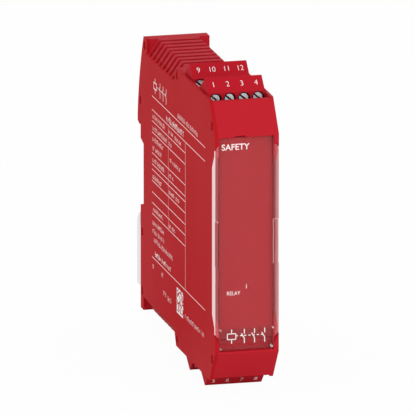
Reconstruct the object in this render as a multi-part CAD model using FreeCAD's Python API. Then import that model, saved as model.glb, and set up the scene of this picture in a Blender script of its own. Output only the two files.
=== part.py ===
"""Rail-mounted safety relay module with four pull-off screw terminal plugs.

Millimetres.  +X is the viewer's right, +Y points back to the mounting rail, +Z is up.
The origin is on the front face of a 35 mm top-hat rail, at the middle of the rail's
height and of the module's width.
"""
import FreeCAD, Part
import math
import os

V = FreeCAD.Vector

# ---- driving dimensions ----------------------------------------------------------------
WIDTH = 22.5             # one rail module
HEIGHT = 99.0            # housing without the plugs
DEPTH = 107.0            # rail face to front face
SIDE_WALL = 1.1
SHELL_WALL = 1.6         # roof, floor and slanted front walls
BACK_WALL = 1.8
FIT_GAP = 0.15           # between a part and the wall that locates it
SEAT_GAP = 0.25          # between a part that moves and what it rests on

RAIL_HEIGHT = 35.0       # top-hat rail
RAIL_LIP = 1.0           # thickness of the rail's lips
LIP_PLAY = 0.3
HOOK_REACH = 4.3         # hook behind the rail face
HOOK_NOSE = 0.7          # nose behind the rail's upper lip
HOOK_BEND = 2.5          # straight back of the hook above the rail's top edge
BACK_LEAN = 4.4          # top back edge in front of the rail face
BACK_BULGE = 1.3         # rise of the curved back over its chord

BUS_TOP = 12.2           # recess for the bus connector in the rail
BUS_BOTTOM = 11.7
BUS_DEPTH = 4.3
BUS_SLOPE = 1.2

FRONT_TAPER_DEPTH = 8.1  # slanted faces above and below the front face
FRONT_TAPER_HEIGHT = 11.1

CHAMFER_X = 4.0          # sloped shoulders of the vent fields
CHAMFER_Z = 5.7
CHAMFER_BACK = 8.9
HEEL = 4.2               # foot of the back wall behind the lower vent field
HEEL_RISE = 0.8
CHAMFER_RUNOUT = 2.8
VENT_TO_FRONT = 55.8     # front face to the front end of a vent field
VENT_PITCH = 4.75
VENT_SLOT = 2.0
VENT_BACK_LAND = 3.8
VENT_FRONT_LAND = 5.3
VENT_FLOOR = 0.3         # slot end above the shoulder's lower edge

POLES = 4
FRONT_ROW = 19.8         # front face to the crest of the front plugs
ROW_SPACING = 21.4
PLUG_RISE = 4.9          # crest above the housing
PLUG_BACK = 6.1          # crest to the back of the plug
PLUG_FRONT = 5.5         # crest to the screw face
NUMBER_RUN = 3.9         # sloped face for the numbers: forward from the crest
NUMBER_FALL = 3.3        # and down from it
NUMBER_STEP = 0.3        # ledge below that face
WIRE_FACE_END = 0.6      # back end of the wire slope, above the housing
PLUG_SHOULDER = 9.3      # housing edge down to the plug's shoulders
PLUG_TONGUE = 18.2       # housing edge down to the end of the plug's tongue
TONGUE_BACK = 4.2
TONGUE_FRONT = 3.8
CHAMBER_DEPTH = 22.0
CHAMBER_WALL = 1.2
FRONT_WALL_DROP = 0.6    # wall in front of the screws, below the side walls
ACCESS_BACK = 13.6       # rear crest to the wall in front of its screwdriver room
SCREW_DROP = 1.6         # screw axis below the housing edge
SCREW_HOLE_WALL = 0.8    # plastic between two screw holes
SCREW_PLAY = 0.4         # head to its hole
SCREW_HEAD_T = 1.2
SCREW_LENGTH = 6.4
SCREW_SINK = 0.7         # head below the plug's face
SCREW_SLOT_W = 0.6
SCREW_SLOT_T = 0.9
CAGE_WALL = 0.6
CAGE_UP = 2.0            # cage above the screw axis
CAGE_DOWN = 3.2
CAGE_FRONT = 1.9         # cage in front of the crest
CAGE_BACK = 3.9
CAGE_THREAD = 1.1        # its threaded front wall
CAGE_SIDE = 0.45         # plastic between a cage and the next, each side
CAGE_PLAY = 0.1          # cage to its room, and shank to the cage
WIRE_HOLE = 3.3
WIRE_FUNNEL = 0.55       # wider mouth of a wire hole, each side
CONTACT_X = 1.15         # half sizes of a folded contact
CONTACT_Y = 1.35
CONTACT_ROOM = 0.15      # plug around it

PIN = 1.0                # square contact pins
PIN_TOP = 10.8           # pin tips below the housing edge
PIN_STEP = 1.8           # between the levels of the bent pins
HEADER_BASE = 3.0

COVER_PLATE = 1.2        # hinged clear cover
COVER_SIDE_DEPTH = 4.4
COVER_END = 0.95         # cover's ends inside the front face's edges
COVER_NECK = 1.85        # narrower stretch at each end, from the side faces
COVER_SHOULDER_TOP = 5.2
COVER_SHOULDER_BOTTOM = 6.8
COVER_CLIP_X = 1.5       # clipped lower corners
COVER_CLIP_Z = 5.2
COVER_SWING = 1.4        # room below them in the housing
COVER_WING_TOP = 11.7
COVER_WING_BOTTOM = 13.1
COVER_GAP = 0.3          # above and below the cover
HINGE_R = 1.5
HINGE_PIN_R = 0.8
HINGE_PIN_PLAY = 0.15    # pin end to the side wall
HINGE_PLAY = 0.08
GRIP_TOP = 8.2
GRIP_BOTTOM = 7.3
GRIP_DEPTH = 0.5
NOTCH_X = -2.4           # finger notch above the cover
NOTCH_WIDTH = 4.5
NOTCH_HEIGHT = 0.9
NOTCH_DEPTH = 1.4

PANEL_T = 1.4            # front panel behind the cover
LABEL_T = 0.25
LABEL_BACK = 2.4         # front face to the label's back
PANEL_LOW = 3.9          # its lower end above the cover's
PANEL_PLAY = 0.05        # its sides to the cover's bay

LAMP_Z = (-15.0, -9.0)     # heights of the two status lamps
BOARD_T = 1.6
BOARD_GAP = 0.45         # board to the right wall
TAB_HALF = 8.0           # half height of the board's contact edge
TAB_PLAY = 0.3
CAN_R = 4.0              # capacitors
CAN_LENGTH = 12.0
CAN_Y = -26.0
CAN_Z = 24.0             # axis of the lower one
RELAY_LENGTH = 40.0
RELAY_HEIGHT = 13.0
RELAY_AIR = 2.2          # relay top to the side cover
RELAY_SPLIT = 3.0        # between the two relays
RELAY_BASE = 1.5         # stepped base on the board
RELAY_STEP = 0.5
RELAY_BACK = 9.0         # behind the relays, to the recessed back wall
CHIP_T = 1.6

LATCH_INSET = 0.15       # latch inside the side faces
STOP_INSET = 2.95        # stop nubs from the walls' inner faces
STOP_DROP = 1.4          # their foot below the rail's lower edge
STOP_HEIGHT = 0.9
STOP_HALF = 2.0
LATCH_SHEET = 1.2
LATCH_BACK = 5.7
LATCH_RISE = 2.5         # tip above the rail's lower edge
LATCH_HEAD = 3.4         # height of the bent-over head
LATCH_END = 8.4          # latch end above the housing's bottom
LATCH_TRAVEL = 4.0
GUIDE_NECK = 4.5
GUIDE_HEAD = 6.0
GUIDE_STEP = 1.3
GUIDE_RISE = 3.2
SPRING_R = 1.45
SPRING_WIRE = 0.4
SPRING_TURNS = 4
RUNS_PER_TURN = 7
SPRING_SEAT = 0.15       # spring's ends to what they press on

SNAP_Y = 2.2             # snap windows in the side cover
SNAP_Z = 2.8
SNAP_PLAY = 0.2
SNAP_SINK = 0.35
POST_LENGTH = 5.0        # posts behind the snaps
POST_Y = 3.0
POST_Z = 3.4

# ---- values that follow ----------------------------------------------------------------
HALF_W = WIDTH / 2
INNER_W = HALF_W - SIDE_WALL
EDGE = HEIGHT / 2
RAIL_HALF = RAIL_HEIGHT / 2
FACE_HALF = EDGE - FRONT_TAPER_HEIGHT
PLUG_HALF = INNER_W - FIT_GAP
POLE_PITCH = 2 * PLUG_HALF / POLES
SCREW_HOLE_R = (POLE_PITCH - SCREW_HOLE_WALL) / 2
SCREW_HEAD_R = SCREW_HOLE_R - SCREW_PLAY
CAGE_HALF = POLE_PITCH / 2 - CAGE_SIDE - CAGE_PLAY
SCREW_SHANK_R = CAGE_HALF - CAGE_WALL - CAGE_PLAY
POLE_X = [(i - (POLES - 1) / 2) * POLE_PITCH for i in range(POLES)]
CREST_FRONT = -(DEPTH - FRONT_ROW)
CREST_REAR = CREST_FRONT + ROW_SPACING
VENT_FRONT = DEPTH - VENT_TO_FRONT
CHAMBER_FLOOR = EDGE - CHAMBER_DEPTH
SCREW_Z = EDGE - SCREW_DROP
SHOULDER_Z = EDGE - PLUG_SHOULDER
BAY_BACK = -(DEPTH - COVER_SIDE_DEPTH)
WALL_FRONT = BAY_BACK + SHELL_WALL
PANEL_HALF = HALF_W - COVER_NECK - PANEL_PLAY
COVER_Z1 = FACE_HALF - COVER_END
COVER_Z0 = -FACE_HALF + COVER_END
PANEL_Z0 = COVER_Z0 + PANEL_LOW
PANEL_Z1 = COVER_Z1 - 0.1
HINGE_Y = -DEPTH + HINGE_R
HINGE_Z = COVER_Z0 + HINGE_R
BOARD_X1 = INNER_W - BOARD_GAP
BOARD_X0 = BOARD_X1 - BOARD_T
LATCH_Z0 = -(EDGE - LATCH_END)
LATCH_TIP = -RAIL_HALF + LATCH_RISE
LATCH_IN = LATCH_BACK - LATCH_SHEET
STOP_Z = -RAIL_HALF - STOP_DROP
GUIDE_Z1 = LATCH_TIP - 10.3
SPRING_Z1 = GUIDE_Z1 + 0.8
SPRING_Z0 = SPRING_Z1 - LATCH_TRAVEL - 2 * SPRING_WIRE * (SPRING_TURNS + 1) - 3.5
GUIDE_Z0 = SPRING_Z0 - 2.0


# ---- small helpers ---------------------------------------------------------------------
def slab(points, x0, x1):
    """Outline of (y, z) points carried from x0 to x1."""
    ring = [V(x0, y, z) for y, z in points]
    face = Part.Face(Part.makePolygon(ring + ring[:1]))
    return face.extrude(V(x1 - x0, 0, 0))


def front_slab(points, y0, y1):
    """Outline of (x, z) points carried from y0 to y1."""
    ring = [V(x, y0, z) for x, z in points]
    face = Part.Face(Part.makePolygon(ring + ring[:1]))
    return face.extrude(V(0, y1 - y0, 0))


def curved_slab(edges, x0, x1):
    """Closed loop of edges in the plane x = 0 carried from x0 to x1."""
    face = Part.Face(Part.Wire(edges))
    face.translate(V(x0, 0, 0))
    return face.extrude(V(x1 - x0, 0, 0))


def box(x0, x1, y0, y1, z0, z1):
    return Part.makeBox(x1 - x0, y1 - y0, z1 - z0, V(x0, y0, z0))


def line(a, b):
    return Part.LineSegment(V(0, *a), V(0, *b)).toShape()


def bow(a, b, rise):
    """Arc from a to b in the plane x = 0 whose middle stands rise to the left of the chord."""
    dy = b[0] - a[0]
    dz = b[1] - a[1]
    chord = math.hypot(dy, dz)
    middle = ((a[0] + b[0]) / 2 - rise * dz / chord, (a[1] + b[1]) / 2 + rise * dy / chord)
    return Part.Arc(V(0, *a), V(0, *middle), V(0, *b)).toShape()


def flipped(shape):
    """The same shape for the lower half of the module."""
    return shape.mirror(V(0, 0, 0), V(0, 0, 1))


def join(shapes):
    return shapes[0].multiFuse(shapes[1:]).removeSplitter() if len(shapes) > 1 else shapes[0]


def save(name, shape):
    shape.exportStep("parts/" + name + ".step")
    print(name, len(shape.Solids), round(shape.Volume, 1), shape.isValid())


# ---- housing ---------------------------------------------------------------------------
def side_outline():
    """Side view of the closed housing: curved back, rail hook, bus recess, tapered front."""
    hook_top = (HOOK_REACH, RAIL_HALF + HOOK_BEND)
    groove = RAIL_LIP + LIP_PLAY
    corner = (-BACK_LEAN, EDGE)
    points = [
        hook_top,
        (HOOK_REACH, RAIL_HALF),
        (groove + 0.8, RAIL_HALF - HOOK_NOSE + 0.2),
        (groove, RAIL_HALF - HOOK_NOSE),
        (groove, RAIL_HALF + LIP_PLAY),
        (0, RAIL_HALF + LIP_PLAY),
        (0, BUS_TOP),
        (-BUS_DEPTH, BUS_TOP - BUS_SLOPE),
        (-BUS_DEPTH, -BUS_BOTTOM + BUS_SLOPE),
        (0, -BUS_BOTTOM),
        (0, -EDGE + HEEL_RISE),
        (-HEEL, -EDGE + HEEL_RISE),
        (-HEEL - HEEL_RISE, -EDGE),
        (-(DEPTH - FRONT_TAPER_DEPTH), -EDGE),
        (-DEPTH, -FACE_HALF),
        (-DEPTH, FACE_HALF),
        (-(DEPTH - FRONT_TAPER_DEPTH), EDGE),
        corner,
    ]
    edges = [line(a, b) for a, b in zip(points, points[1:])]
    edges.append(bow(corner, hook_top, BACK_BULGE))
    return edges


def inner_outline():
    """Side view of the hollow, one wall inside the outline above."""
    slope = math.hypot(FRONT_TAPER_DEPTH, FRONT_TAPER_HEIGHT)
    shift_y = SHELL_WALL * FRONT_TAPER_HEIGHT / slope
    shift_z = SHELL_WALL * FRONT_TAPER_DEPTH / slope
    lean = FRONT_TAPER_DEPTH / FRONT_TAPER_HEIGHT
    lintel = FACE_HALF + SHELL_WALL - 0.1
    roof = EDGE - SHELL_WALL
    lintel_y = -DEPTH + shift_y + (lintel - FACE_HALF + shift_z) * lean
    roof_y = -DEPTH + shift_y + (roof - FACE_HALF + shift_z) * lean
    corner = (-BACK_LEAN - BACK_WALL, roof)
    hook = (HOOK_REACH - BACK_WALL - 0.7, RAIL_HALF + HOOK_BEND + 2.2)
    points = [
        hook,
        (-BACK_WALL, RAIL_HALF + LIP_PLAY + BACK_WALL),
        (-BACK_WALL, BUS_TOP + 1.4),
        (-BUS_DEPTH - BACK_WALL, BUS_TOP),
        (-BUS_DEPTH - BACK_WALL, -BUS_BOTTOM),
        (-BACK_WALL, -BUS_BOTTOM - 1.4),
        (-BACK_WALL, -roof),
        (roof_y, -roof),
        (lintel_y, -lintel),
        (WALL_FRONT, -lintel),
        (WALL_FRONT, lintel),
        (lintel_y, lintel),
        (roof_y, roof),
        corner,
    ]
    edges = [line(a, b) for a, b in zip(points, points[1:])]
    edges.append(bow(corner, hook, BACK_BULGE))
    return edges


def shoulder_cut(side, back, drop, grow):
    """Wedge outside one sloped upper shoulder of a vent field that starts at depth back.

    drop lowers the sloped plane and grow lengthens the wedge, for the hollow under it.
    """
    top = EDGE + 2
    z0 = EDGE - CHAMFER_Z - drop
    reach = (top - z0) * CHAMFER_X / CHAMFER_Z
    out = HALF_W + 1
    wedge = front_slab([
        (side * out, z0 - CHAMFER_Z / CHAMFER_X),
        (side * out, top),
        (side * (HALF_W - reach), top),
    ], -VENT_FRONT - 5, 0)
    front = -(VENT_FRONT - CHAMFER_RUNOUT) - grow
    field = slab([
        (-back + grow, z0 - 4),
        (-back + grow, top),
        (front - CHAMFER_RUNOUT * (top - z0 - drop) / CHAMFER_Z, top),
        (front, z0 + drop),
        (front, z0 - 4),
    ], -out - 1, out + 1)
    return wedge.common(field)


def vent_slots(back):
    """Slots across the roof and down both shoulders of the field that starts at back."""
    first = back + VENT_BACK_LAND
    last = VENT_FRONT - VENT_FRONT_LAND
    steps = max(1, round((last - first) / VENT_PITCH))
    pitch = (last - first) / steps
    z0 = EDGE - CHAMFER_Z + VENT_FLOOR
    cuts = []
    for i in range(steps + 1):
        y = -(first + i * pitch)
        cuts.append(box(-HALF_W - 1, HALF_W + 1, y - VENT_SLOT / 2, y + VENT_SLOT / 2, z0, EDGE + 1))
    return cuts


def cover_wing_outline(gap):
    """Side view of the cover's side walls, grown by gap towards the housing."""
    return [
        (-DEPTH - (1 if gap else 0), FACE_HALF - COVER_SHOULDER_TOP + gap),
        (-DEPTH, FACE_HALF - COVER_SHOULDER_TOP + gap),
        (BAY_BACK + gap, FACE_HALF - COVER_WING_TOP + gap),
        (BAY_BACK + gap, -FACE_HALF + COVER_WING_BOTTOM - gap),
        (-DEPTH + 0.7 + gap, -FACE_HALF + COVER_WING_BOTTOM - 4.5 - gap),
        (-DEPTH, -FACE_HALF + COVER_SHOULDER_BOTTOM - gap),
        (-DEPTH - (1 if gap else 0), -FACE_HALF + COVER_SHOULDER_BOTTOM - gap),
    ]


def cover_plate_outline(gap, swing):
    """Front view of the cover's plate, grown by gap: narrow ends and clipped corners.

    swing is the room that the housing leaves below the lower corners when the cover opens.
    """
    neck = HALF_W - COVER_NECK + gap
    clip_x = HALF_W - COVER_CLIP_X + gap
    half = [
        (neck, COVER_Z1 + gap),
        (neck, FACE_HALF - 3.1 + gap),
        (HALF_W - 0.75 + gap, FACE_HALF - 3.9 + gap),
        (HALF_W + gap, FACE_HALF - COVER_SHOULDER_TOP + gap),
        (HALF_W + gap, -FACE_HALF + COVER_SHOULDER_BOTTOM - gap),
        (clip_x, -FACE_HALF + COVER_CLIP_Z - gap - swing),
        (neck, -FACE_HALF + COVER_CLIP_Z - 1.1 - gap - swing),
        (neck, HINGE_Z - gap - swing),
    ]
    return half + [(-x, z) for x, z in reversed(half)]


def cover_seat():
    """Room for the cover's plate in the front edges of the housing."""
    return front_slab(cover_plate_outline(FIT_GAP, COVER_SWING), -DEPTH - 1, -DEPTH + COVER_PLATE + FIT_GAP)


def snap_points():
    """Places of the snaps that hold the side cover, as (y, z)."""
    return [
        (0.0, RAIL_HALF + 8.3),
        (-BACK_LEAN - 1.5, EDGE - 2.9),
        (-2.3, -RAIL_HALF - 3.4),
        (-2.3, -EDGE + 7.5),
        (-VENT_FRONT - 1.4, EDGE - 2.5),
        (-VENT_FRONT - 1.4, -EDGE + 2.5),
        (-DEPTH + 4.4, FACE_HALF + 2.8),
        (-DEPTH + 4.4, -FACE_HALF - 2.8),
    ]


def chamber_rooms():
    """Depth ranges (y0, y1) of the rear and front plug chambers."""
    front_y0 = -(DEPTH - FRONT_TAPER_DEPTH) + CHAMBER_WALL + 0.2
    front_y1 = CREST_FRONT + PLUG_BACK + 0.4
    rear_y0 = CREST_REAR - ACCESS_BACK
    rear_y1 = CREST_REAR + PLUG_BACK + 0.4
    return [(rear_y0, rear_y1), (front_y0, front_y1)]


def upper_chambers():
    """Block that holds both upper plug chambers, and the rooms cut into it."""
    rooms = chamber_rooms()
    block = box(-INNER_W, INNER_W, rooms[1][0] - CHAMBER_WALL - 0.2, rooms[0][1] + CHAMBER_WALL,
                CHAMBER_FLOOR - CHAMBER_WALL, EDGE)
    cuts = [box(-INNER_W - 0.01, INNER_W, y0, y1, CHAMBER_FLOOR, EDGE + 1) for y0, y1 in rooms]
    cuts.append(box(-INNER_W - 0.01, INNER_W, -DEPTH, rooms[1][0] + 1, EDGE - FRONT_WALL_DROP, EDGE + 1))
    for crest in (CREST_REAR, CREST_FRONT):
        for x in POLE_X:
            r = PIN / 2 + FIT_GAP
            cuts.append(box(x - r, x + r, crest - r, crest + r, CHAMBER_FLOOR - 5, CHAMBER_FLOOR + 1))
    return block, cuts


def latch_guide():
    """T-shaped guide on the back, with the groove that holds the latch's spring."""
    neck = box(-GUIDE_NECK, GUIDE_NECK, -0.1, GUIDE_STEP, GUIDE_Z0, GUIDE_Z1)
    head = box(-GUIDE_HEAD, GUIDE_HEAD, GUIDE_STEP, GUIDE_RISE, GUIDE_Z0, GUIDE_Z1)
    groove = box(-SPRING_R - 0.75, SPRING_R + 0.75, 0.5, GUIDE_RISE + 1, SPRING_Z0, GUIDE_Z1 + 1)
    stop_x = INNER_W - STOP_INSET
    stops = [box(x - STOP_HALF, x + STOP_HALF, -0.1, RAIL_LIP, STOP_Z, STOP_Z + STOP_HEIGHT)
             for x in (-stop_x, stop_x)]
    return join([neck, head] + stops).cut(groove)


def both(shapes):
    return shapes + [flipped(s) for s in shapes]


def vent_shoulders(sides, drop, grow):
    """Shoulder cuts of the upper and the lower vent field."""
    upper = [shoulder_cut(s, CHAMFER_BACK, drop, grow) for s in sides]
    lower = [flipped(shoulder_cut(s, HEEL, drop, grow)) for s in sides]
    return upper + lower


def all_slots():
    return vent_slots(CHAMFER_BACK) + [flipped(s) for s in vent_slots(HEEL)]


def housing_shell():
    """Moulded shell: right wall and all walls round the edge, open at the left."""
    body = curved_slab(side_outline(), -INNER_W, HALF_W)
    hollow = curved_slab(inner_outline(), -INNER_W - 1, INNER_W)
    steep = SHELL_WALL * math.hypot(1, CHAMFER_Z / CHAMFER_X)
    inner_shoulders = vent_shoulders((-1, 1), steep, SHELL_WALL)
    block, rooms = upper_chambers()
    hollow = hollow.cut(inner_shoulders + both([block]))
    body = body.cut([hollow] + vent_shoulders((-1, 1), 0, 0))
    bay_half = HALF_W - COVER_NECK + FIT_GAP
    bay = box(-bay_half, bay_half, -DEPTH - 1, BAY_BACK,
              COVER_Z0 - COVER_GAP, COVER_Z1 + COVER_GAP)
    wings = slab(cover_wing_outline(FIT_GAP), -HALF_W - 1, HALF_W + 1)
    plate = cover_seat()
    window = box(-INNER_W + 2, INNER_W - 2, BAY_BACK - 1, WALL_FRONT + 1,
                 -FACE_HALF + 9, FACE_HALF - 9)
    notch = front_slab([
        (NOTCH_X - NOTCH_WIDTH / 2, COVER_Z1),
        (NOTCH_X + NOTCH_WIDTH / 2, COVER_Z1),
        (NOTCH_X + NOTCH_WIDTH / 2 - NOTCH_HEIGHT / 2, COVER_Z1 + NOTCH_HEIGHT),
        (NOTCH_X - NOTCH_WIDTH / 2 + NOTCH_HEIGHT / 2, COVER_Z1 + NOTCH_HEIGHT),
    ], -DEPTH - 1, -DEPTH + NOTCH_DEPTH)
    pin_end = INNER_W + 0.05
    pin_hole = Part.makeCylinder(HINGE_PIN_R + HINGE_PLAY, 2 * pin_end, V(-pin_end, HINGE_Y, HINGE_Z),
                                 V(1, 0, 0))
    edge_slot = box(BOARD_X0 - 0.25, BOARD_X1 + 0.25, -BUS_DEPTH - BACK_WALL - 0.5, -BUS_DEPTH + 0.5,
                    -TAB_HALF - TAB_PLAY, TAB_HALF + TAB_PLAY)
    body = body.cut([bay, wings, plate, window, notch, pin_hole, edge_slot] + both(rooms) + all_slots())
    extra = [latch_guide()]
    outer = curved_slab(side_outline(), -HALF_W, HALF_W)
    for y, z in snap_points():
        post = box(-INNER_W, -INNER_W + POST_LENGTH, y - POST_Y / 2, y + POST_Y / 2,
                   z - POST_Z / 2, z + POST_Z / 2)
        extra.append(post.common(outer))
        snap_y = SNAP_Y / 2 - SNAP_PLAY
        snap_z = SNAP_Z / 2 - SNAP_PLAY
        extra.append(box(-HALF_W + SNAP_SINK, -INNER_W, y - snap_y, y + snap_y, z - snap_z, z + snap_z))
    for y in (-12.0, -VENT_FRONT + 4):
        for z in (-17.0, 17.0):
            extra.append(box(BOARD_X1, INNER_W, y - 2.2, y + 2.2, z - 2.2, z + 2.2))
    return join([body] + extra)


def side_cover():
    """Flat left wall that snaps onto the shell."""
    plate = curved_slab(side_outline(), -HALF_W, -INNER_W)
    cuts = vent_shoulders((-1,), 0, 0) + all_slots()
    cuts.append(slab(cover_wing_outline(FIT_GAP), -HALF_W - 1, HALF_W + 1))
    cuts.append(cover_seat())
    for y, z in snap_points():
        cuts.append(box(-HALF_W - 1, -INNER_W + 1, y - SNAP_Y / 2, y + SNAP_Y / 2,
                        z - SNAP_Z / 2, z + SNAP_Z / 2))
    return plate.cut(cuts)


# ---- front -----------------------------------------------------------------------------
def front_cover():
    """Clear cover: plate with side walls, a barrel with two pins at its lower end."""
    neck = HALF_W - COVER_NECK
    plate = front_slab(cover_plate_outline(0, 0), -DEPTH, -DEPTH + COVER_PLATE)
    walls = [slab(cover_wing_outline(0)[1:-1], s * HALF_W, s * INNER_W) for s in (-1, 1)]
    barrel = Part.makeCylinder(HINGE_R, 2 * neck - 0.2, V(-neck + 0.1, HINGE_Y, HINGE_Z), V(1, 0, 0))
    pin_end = INNER_W - HINGE_PIN_PLAY
    pins = Part.makeCylinder(HINGE_PIN_R, 2 * pin_end, V(-pin_end, HINGE_Y, HINGE_Z), V(1, 0, 0))
    grips = [box(s * HALF_W - COVER_NECK, s * HALF_W + COVER_NECK, -DEPTH - 1, -DEPTH + GRIP_DEPTH,
                 -GRIP_BOTTOM, GRIP_TOP) for s in (-1, 1)]
    return join([plate, barrel, pins] + walls).cut(grips)


def front_panel():
    """Moulded panel under the cover, standing on the shell's recessed front wall."""
    y0 = -DEPTH + LABEL_BACK
    plate = box(-PANEL_HALF, PANEL_HALF, y0, y0 + PANEL_T, PANEL_Z0, PANEL_Z1)
    rim = box(-PANEL_HALF, PANEL_HALF, y0, BAY_BACK, PANEL_Z0, PANEL_Z1).cut(
        box(-PANEL_HALF + 1, PANEL_HALF - 1, y0, BAY_BACK, PANEL_Z0 + 1, PANEL_Z1 - 1))
    legs = []
    for z in (-FACE_HALF + 10.6, FACE_HALF - 10.6):
        for s in (-1, 1):
            x = s * (INNER_W - 2.8)
            legs.append(box(x - 0.6, x + 0.6, BAY_BACK - 1.5, WALL_FRONT + 1.2, z - 1.4, z + 1.4))
    return join([plate, rim] + legs)


def label_sheet():
    """Printed label that covers the front panel."""
    y1 = -DEPTH + LABEL_BACK
    return box(-PANEL_HALF, PANEL_HALF, y1 - LABEL_T, y1, PANEL_Z0, PANEL_Z1)


def light_guide():
    """Two clear bars that carry the status light forward to the label."""
    back = WALL_FRONT + 1.6
    front = -DEPTH + LABEL_BACK + PANEL_T
    bars = [box(2.5, 4.5, front, back, z - 1, z + 1) for z in LAMP_Z]
    bridge = box(2.5, 4.5, back - 1.2, back, -14.5, -9.5)
    return join(bars + [bridge])


# ---- plugs -----------------------------------------------------------------------------
def plug_outline(crest):
    """Side view of an upper plug: wire slope, crest, label face, screw face, tongue."""
    top = EDGE + PLUG_RISE
    return [
        (crest, top),
        (crest + PLUG_BACK, EDGE + WIRE_FACE_END),
        (crest + PLUG_BACK, SHOULDER_Z),
        (crest + TONGUE_BACK, SHOULDER_Z),
        (crest + TONGUE_BACK, EDGE - PLUG_TONGUE),
        (crest - TONGUE_FRONT, EDGE - PLUG_TONGUE),
        (crest - TONGUE_FRONT, SHOULDER_Z),
        (crest - PLUG_FRONT - 0.2, SHOULDER_Z),
        (crest - PLUG_FRONT, top - NUMBER_FALL - NUMBER_STEP - 0.6),
        (crest - NUMBER_RUN - NUMBER_STEP, top - NUMBER_FALL - NUMBER_STEP),
        (crest - NUMBER_RUN, top - NUMBER_FALL),
        (crest - 0.3, top),
    ]


def wire_hole(x, crest, size, depth, lift):
    """Square hole square to the wire slope, starting lift outside it."""
    fall = PLUG_RISE - WIRE_FACE_END
    tilt = math.degrees(math.atan2(fall, PLUG_BACK))
    hole = box(x - size / 2, x + size / 2, -size / 2, size / 2, -depth, lift)
    hole.rotate(V(x, 0, 0), V(1, 0, 0), -tilt)
    hole.translate(V(0, crest + PLUG_BACK * 0.52, EDGE + PLUG_RISE - fall * 0.52))
    return hole


def plug_body(crest):
    """Moulded plug with wire funnels, screw holes, cage rooms and contact slots."""
    body = slab(plug_outline(crest), -PLUG_HALF, PLUG_HALF)
    cuts = []
    side = CAGE_HALF + CAGE_PLAY
    for x in POLE_X:
        cuts.append(Part.makeCylinder(SCREW_HOLE_R, 5.0, V(x, crest - PLUG_FRONT - 1, SCREW_Z), V(0, 1, 0)))
        cuts.append(box(x - side, x + side, crest - CAGE_FRONT - CAGE_PLAY, crest + CAGE_BACK + CAGE_PLAY,
                        SCREW_Z - CAGE_DOWN - CAGE_PLAY, SCREW_Z + CAGE_UP + CAGE_PLAY))
        cuts.append(wire_hole(x, crest, WIRE_HOLE, 4.2, 1))
        cuts.append(wire_hole(x, crest, WIRE_HOLE + 2 * WIRE_FUNNEL, 0.5, 1))
        rx = CONTACT_X + CONTACT_ROOM
        ry = CONTACT_Y + CONTACT_ROOM
        cuts.append(box(x - rx, x + rx, crest - ry, crest + ry, EDGE - PLUG_TONGUE - 1, SCREW_Z - CAGE_DOWN))
    for s in (-1, 1):
        cuts.append(slab([
            (crest + PLUG_BACK + 1, SHOULDER_Z + 3.0),
            (crest + PLUG_BACK - 0.8, SHOULDER_Z + 3.8),
            (crest + PLUG_BACK - 0.8, SHOULDER_Z + 6.2),
            (crest + PLUG_BACK + 1, SHOULDER_Z + 7.0),
        ], s * PLUG_HALF, s * (PLUG_HALF - 3)))
    return body.cut(cuts)


def clamp_screws(crest):
    """Slotted screws, one to a pole, with their heads just inside the screw face."""
    screws = []
    y0 = crest - PLUG_FRONT + SCREW_SINK
    for x in POLE_X:
        head = Part.makeCylinder(SCREW_HEAD_R, SCREW_HEAD_T, V(x, y0, SCREW_Z), V(0, 1, 0))
        shank = Part.makeCylinder(SCREW_SHANK_R, SCREW_LENGTH, V(x, y0, SCREW_Z), V(0, 1, 0))
        slot = box(x - SCREW_HEAD_R - 1, x + SCREW_HEAD_R + 1, y0 - 1, y0 + SCREW_SLOT_T,
                   SCREW_Z - SCREW_SLOT_W / 2, SCREW_Z + SCREW_SLOT_W / 2)
        slot.rotate(V(x, y0, SCREW_Z), V(0, 1, 0), 40)
        screws.append(join([head, shank]).cut(slot))
    return Part.Compound(screws)


def clamp_cages(crest):
    """Square clamp cages open towards the wires and the contacts."""
    cages = []
    side = CAGE_HALF
    for x in POLE_X:
        outer = box(x - side, x + side, crest - CAGE_FRONT, crest + CAGE_BACK,
                    SCREW_Z - CAGE_DOWN, SCREW_Z + CAGE_UP)
        room = box(x - side + CAGE_WALL, x + side - CAGE_WALL, crest - CAGE_FRONT + CAGE_THREAD,
                   crest + CAGE_BACK - CAGE_WALL, SCREW_Z - CAGE_DOWN - 1, SCREW_Z + CAGE_UP + 1)
        thread = Part.makeCylinder(SCREW_SHANK_R + 0.05, 2, V(x, crest - CAGE_FRONT - 0.4, SCREW_Z),
                                   V(0, 1, 0))
        cages.append(outer.cut([room, thread]))
    return Part.Compound(cages)


def plug_contacts(crest):
    """Folded contacts that grip the header's pins."""
    contacts = []
    for x in POLE_X:
        outer = box(x - CONTACT_X, x + CONTACT_X, crest - CONTACT_Y, crest + CONTACT_Y,
                    EDGE - PLUG_TONGUE + 0.6, SCREW_Z - CAGE_DOWN - 0.2)
        room = box(x - 0.7, x + 0.7, crest - 2, crest + 0.9, EDGE - PLUG_TONGUE, SCREW_Z - 4.2)
        contacts.append(outer.cut(room))
    return Part.Compound(contacts)


def header_base(crest):
    """Socket base that stands on the chamber's floor and takes the plug's tongue."""
    y0 = crest - TONGUE_FRONT - FIT_GAP
    y1 = crest + TONGUE_BACK + FIT_GAP
    top = SHOULDER_Z - SEAT_GAP
    body = box(-PLUG_HALF, PLUG_HALF, y0 - 1.3, y1 + 1.3, CHAMBER_FLOOR, top)
    cuts = [box(-PLUG_HALF - 1, PLUG_HALF + 1, y0, y1, CHAMBER_FLOOR + HEADER_BASE, top + 1)]
    for x in POLE_X:
        cuts.append(box(x - PIN / 2, x + PIN / 2, crest - PIN / 2, crest + PIN / 2,
                        CHAMBER_FLOOR - 1, CHAMBER_FLOOR + HEADER_BASE + 1))
    return body.cut(cuts)


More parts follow.
